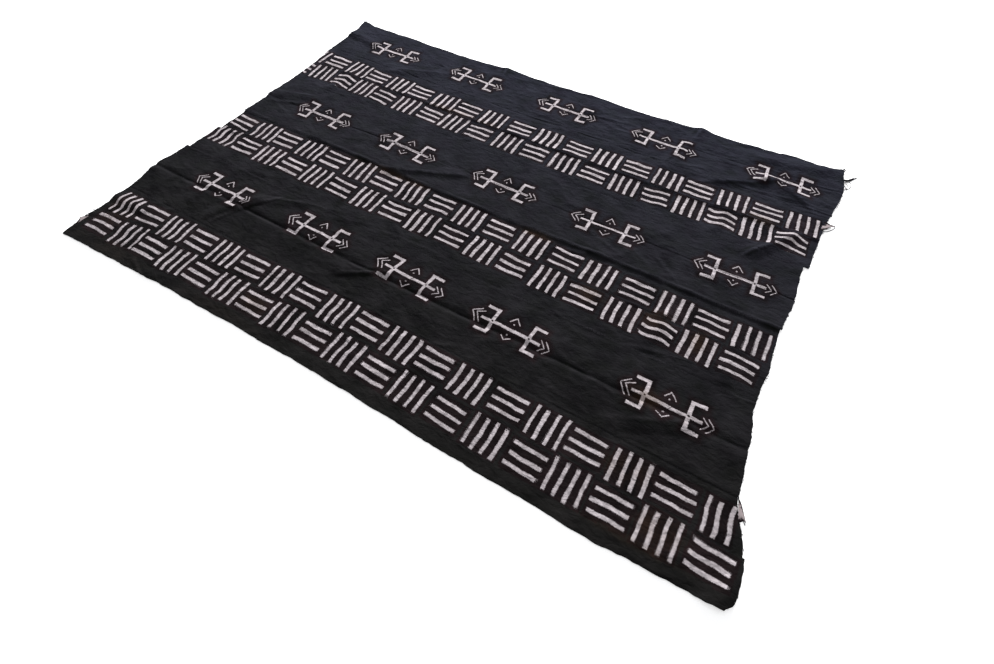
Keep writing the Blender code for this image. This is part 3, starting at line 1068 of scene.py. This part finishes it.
def seam_stitches(material):
    """Slanted whip stitches over every seam, sewn by hand, so no two steps are quite the same."""
    steps = 5
    routes = [([
        ((2 * t / steps - 1) * STITCH_SLANT * MM, (1 - 2 * t / steps) * STITCH_REACH * MM,
         math.sin(math.pi * t / steps) * STITCH_RISE * MM)
        for t in range(steps + 1)
    ], STITCH_RADIUS * MM)]
    stitch = curve_mesh("stitch", routes)
    chance = np.random.RandomState(31)
    places, turns = [], []
    for number in range(1, len(SEAMS) - 1):
        start = max(STRIP_ENDS[number - 1][1][1], STRIP_ENDS[number][1][0]) + STITCH_MARGIN
        end = min(STRIP_ENDS[number - 1][2][1], STRIP_ENDS[number][2][0]) - STITCH_MARGIN
        count = int((end - start) / STITCH_STEP)
        x = start + STITCH_STEP * (np.arange(count) + chance.uniform(-0.2, 0.2, count))
        y = along_columns(SEAMS[number][1], x)
        z = underside(x, y) + CLOTH_THICK - EDGE_DROP - STITCH_SINK
        places.append(np.stack((x, y, z), axis=-1) * MM)
        turns.append(chance.uniform(-0.2, 0.2, count))
    mesh = tiled("seam_stitches", stitch, np.concatenate(places), np.concatenate(turns))
    return add_piece(mesh, material)


def smooth_route(points, heights, radius, steps=8):
    """A curved route through a thread's points, in metres, with a height for its root and its tip."""
    points = np.array(points, dtype=float)
    span = np.linspace(0, len(points) - 1, steps + 1)
    cell = np.clip(span.astype(int), 0, len(points) - 2)
    t = (span - cell)[:, None]
    before, after = points[np.maximum(cell - 1, 0)], points[np.minimum(cell + 2, len(points) - 1)]
    start, end = points[cell], points[cell + 1]
    place = (start + (end - start) * t * t * (3 - 2 * t)
             + (end - before) / 2 * t * (1 - t) ** 2 - (after - start) / 2 * t * t * (1 - t))
    rise = heights[0] + (heights[1] - heights[0]) * smooth(span / span[-1] * 1.6)
    return [(x * MM, y * MM, z * MM) for (x, y), z in zip(place, rise)], radius * MM


def end_threads(dark, pale):
    """Frayed ends: short threads along both cut ends, and the long ones that stick out."""
    chance = np.random.RandomState(41)
    routes = {False: [], True: []}
    for number in range(len(STRIP_ENDS)):
        for end, outward in ((0.0, -1), (1.0, 1)):
            for _ in range(FRAYS_PER_END):
                across = chance.uniform(0.03, 0.97)
                x, y = (float(v) for v in strip_place(number, np.array(end), np.array(across)))
                z = float(underside(np.array(x), np.array(y)))
                reach = outward * chance.uniform(*FRAY_REACH[outward])
                drift = chance.normal(0, 2.0)
                bend = chance.normal(0, 1.2)
                points = ((x - outward * FRAY_DEPTH, y), (x + reach * 0.5, y + bend), (x + reach, y + drift))
                is_pale = bool(chance.uniform() < PALE_SHARE)
                route = smooth_route(points, (z + THREAD_ROOT, 0.4), chance.uniform(0.25, 0.42), 4)
                routes[is_pale].append(route)
    for points, radius, is_pale in LOOSE_THREADS:
        x, y = (np.array(float(v)) for v in points[0])
        root = float(underside(x, y)) + THREAD_ROOT
        routes[is_pale].append(smooth_route(points, (root, radius), radius))
    pieces = []
    for name, material, is_pale in (("dark_end_threads", dark, False), ("pale_end_threads", pale, True)):
        pieces.append(add_piece(curve_mesh(name, routes[is_pale]), material))
    return pieces


def end_flap(name, first, second, tip, rise, material):
    """A pointed bit of frayed, painted cloth at a cut end, as a small closed sheet."""
    mesh, along, across, layer = sheet_grid(name, *FLAP_CELLS)
    narrowing = 1 - FLAP_NARROWING * smooth(along * 1.05)
    middle = (np.array(first) + np.array(second)) / 2
    half = (np.array(second) - np.array(first)) / 2
    centre_x = middle[0] + (tip[0] - middle[0]) * along
    centre_y = middle[1] + (tip[1] - middle[1]) * along ** 1.3
    side = (across * 2 - 1) * narrowing
    x, y = centre_x + half[0] * side, centre_y + half[1] * side
    start = float(underside(*middle[:, None])[0])
    curl = start + rise * np.sin(math.pi * 0.8 * along) + 0.6 * unevenness(x, y, 9, 9, 51) + 0.7
    points = np.stack((x, y, np.maximum(curl, 0.1) + layer * FLAP_THICK), axis=-1)
    mesh.vertices.foreach_set("co", (points * MM).ravel())
    if (tip[0] > middle[0]) != (first[1] > second[1]):
        mesh.flip_normals()
    vertex, _, _ = corner_table(mesh)
    keep_map(mesh, "weave", (x[vertex] * MM, y[vertex] * MM))
    keep_values(mesh, "edge", "POINT", np.abs(across * 2 - 1))
    piece = add_piece(mesh, material)


def painted_edge():
    """The same cotton where the paint runs off the cut end: chalky, with dark, frayed borders."""
    material, tree, shader = new_material("painted_cotton_end", "#9b9091", DULL)
    add = functools.partial(add_node, tree)
    metres = add("TexCoord").outputs["Object"]
    edge = add("Attribute", attribute_name="edge").outputs["Fac"]
    patchy = add("TexNoise", {"Vector": metres, "Scale": PATTERN_RATES["frayed_paint"], "Detail": 3.0})
    edge = add("Math", (patchy.outputs[0], 0.9, edge), operation="MULTIPLY_ADD")
    dark = add("MapRange", (edge, 0.85, 1.15))
    colour = add("Mix", {0: dark, 6: linear("#9b9091"), 7: linear("#1a1517")}, data_type="RGBA")
    tree.links.new(colour.outputs[2], shader.inputs["Base Color"])
    bump = add("Bump", {"Height": weave_height(tree), "Strength": 0.4, "Distance": 0.0005})
    tree.links.new(bump.outputs[0], shader.inputs["Normal"])
    return material


def thread(name, shade, light):
    """Twisted cotton thread: dull, with its colour uneven along its length."""
    material, tree, shader = new_material(name, shade, DULL)
    add = functools.partial(add_node, tree)
    metres = add("TexCoord").outputs["Object"]
    uneven = add("TexNoise", {"Vector": metres, "Scale": PATTERN_RATES["thread_shades"], "Detail": 2.0})
    colour = add("Mix", {0: uneven.outputs[0], 6: linear(shade), 7: linear(light)}, data_type="RGBA")
    tree.links.new(colour.outputs[2], shader.inputs["Base Color"])
    twist = {"Vector": metres, "Scale": PATTERN_RATES["thread_twist"], "Distortion": 1.0}
    twist = add("TexWave", twist, bands_direction="DIAGONAL")
    bump = add("Bump", {"Height": twist.outputs[1], "Strength": 0.3, "Distance": 0.0002})
    tree.links.new(bump.outputs[0], shader.inputs["Normal"])
    return material


def pale_floor():
    """A white table lit from inside too, so that it stays evenly white with hardly a shadow."""
    bpy.ops.mesh.primitive_plane_add(size=FLOOR_SIZE, location=(0, 0, 0))
    floor = bpy.context.object
    floor.name = FLOOR
    material, _, shader = new_material("glowing_white_table", "#f4f4f4", 0.9)
    shader.inputs["Emission Color"].default_value = linear("#ffffff")
    shader.inputs["Emission Strength"].default_value = FLOOR_GLOW
    floor.data.materials.append(material)


def camera():
    data = bpy.data.cameras.new("camera")
    data.lens = CAMERA_LENS
    data.sensor_width = SENSOR_WIDTH
    data.clip_start = 0.01
    look = Vector(CAMERA_LOOK).normalized()
    right = Vector(CAMERA_RIGHT).normalized()
    up = right.cross(look)
    turn = Matrix((right, up, -look)).transposed().to_4x4()
    viewer = bpy.data.objects.new("camera", data)
    viewer.matrix_world = Matrix.Translation(CAMERA_PLACE) @ turn
    bpy.context.scene.collection.objects.link(viewer)
    bpy.context.scene.camera = viewer


def soft_light(name, place, target, size, power):
    data = bpy.data.lights.new(name, "AREA")
    data.shape = "RECTANGLE"
    data.size, data.size_y = size
    data.energy = power
    lamp = bpy.data.objects.new(name, data)
    lamp.location = place
    lamp.rotation_euler = (Vector(target) - Vector(place)).to_track_quat("-Z", "Y").to_euler()
    bpy.context.scene.collection.objects.link(lamp)


def studio():
    for light in LIGHTS:
        soft_light(*light)
    world = bpy.data.worlds.new("studio")
    world.use_nodes = True
    background = world.node_tree.nodes["Background"]
    background.inputs["Color"].default_value = linear("#f6f7fa")
    background.inputs["Strength"].default_value = ROOM_LIGHT
    bpy.context.scene.world = world
    bpy.context.scene.view_settings.view_transform = "Standard"


bpy.ops.object.select_all(action="DESELECT")
camera()
pale_floor()
studio()
cloth = mud_dyed_cotton()
dark_thread = thread("mud_dyed_sewing_cotton", "#151418", "#2a282e")
pale_thread = thread("frayed_pale_cotton", "#6f6462", "#b9adab")
painted = painted_edge()

strips = [woven_strip(number, cloth) for number in range(len(STRIP_ENDS))]
sewn_on = [seam_stitches(dark_thread), *end_threads(dark_thread, pale_thread)]
for flap_name, first_root, second_root, flap_tip, flap_rise in END_FLAPS:
    end_flap(flap_name, first_root, second_root, flap_tip, flap_rise, painted)
